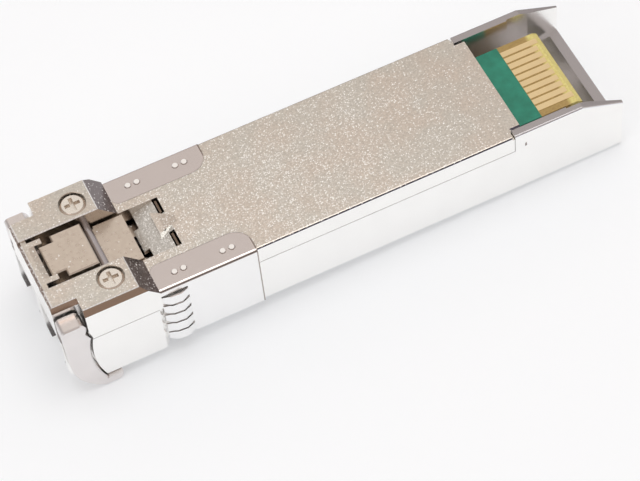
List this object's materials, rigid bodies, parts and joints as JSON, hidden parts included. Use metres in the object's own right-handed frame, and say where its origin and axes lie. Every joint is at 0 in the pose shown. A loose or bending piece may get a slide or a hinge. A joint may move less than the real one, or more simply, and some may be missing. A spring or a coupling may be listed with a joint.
{
  "type": "optical transceiver module",
  "caption": "Pluggable duplex optical transceiver in a plated die-cast body, with a spring-fingered ground collar, a swinging release bail, a latch rocker and an edge-contact circuit board.",
  "frame": {"origin": "middle of the overall length and width, on the plane that touches the lowest side of the closed bail", "axes": "+X along the body towards the edge connector, +Z out of the latch side, which is up, +Y across the body"},
  "size_m": [0.0572, 0.0144, 0.0124],
  "materials": {
    "plated_casting": "satin nickel plate on a zinc die casting, fine sparkling grain",
    "collar_sheet": "smooth plated spring sheet",
    "bail_plating": "smooth satin nickel plate",
    "pin_steel": "ground steel",
    "spring_steel": "bright rolled spring strip",
    "screw_steel": "nickel plated steel",
    "board_laminate": "solder mask over glass epoxy",
    "contact_gold": "hard gold plate",
    "barrel_steel": "turned stainless steel",
    "ferrule_ceramic": "polished zirconia",
    "can_gold": "gold plated can",
    "flex_film": "amber polyimide film",
    "chip_moulding": "moulded epoxy",
    "capacitor_body": "fired ceramic body",
    "pad_silicone": "soft silicone gap filler"
  },
  "bodies": {
    "housing": {"base_casting": "plated_casting", "cover_casting": "plated_casting", "emi_collar": "collar_sheet", "rocker_pin": "pin_steel", "rocker_spring": "spring_steel", "nose_screws": "screw_steel", "circuit_board": "board_laminate", "latch_side_contacts": "contact_gold", "label_side_contacts": "contact_gold", "tosa_barrel": "barrel_steel", "rosa_barrel": "barrel_steel", "tosa_ferrule": "ferrule_ceramic", "rosa_ferrule": "ferrule_ceramic", "tosa_can": "can_gold", "rosa_can": "can_gold", "tosa_flex": "flex_film", "rosa_flex": "flex_film", "osa_clamp": "spring_steel", "laser_driver": "chip_moulding", "limiting_amplifier": "chip_moulding", "controller": "chip_moulding", "board_capacitors": "capacitor_body", "thermal_pad": "pad_silicone"},
    "bail": {"bail": "bail_plating", "bail_shaft": "pin_steel", "release_cams": "pin_steel"},
    "rocker": {"rocker": "plated_casting"}
  },
  "joints": [
    {"name": "bail_hinge", "type": "hinge", "parent": "housing", "child": "bail", "pos_m": [-0.02752, 0, 0.0098], "axis": [0, 1, 0], "range_deg": [0, 90]},
    {"name": "rocker_hinge", "type": "hinge", "parent": "housing", "child": "rocker", "pos_m": [-0.02212, 0, 0.0108], "axis": [0, 1, 0], "range_deg": [-5, 0], "deforming": ["rocker_spring"]}
  ],
  "couplings": [
    {"joint": "rocker_hinge", "follows": "bail_hinge", "ratio": -0.055555}
  ]
}
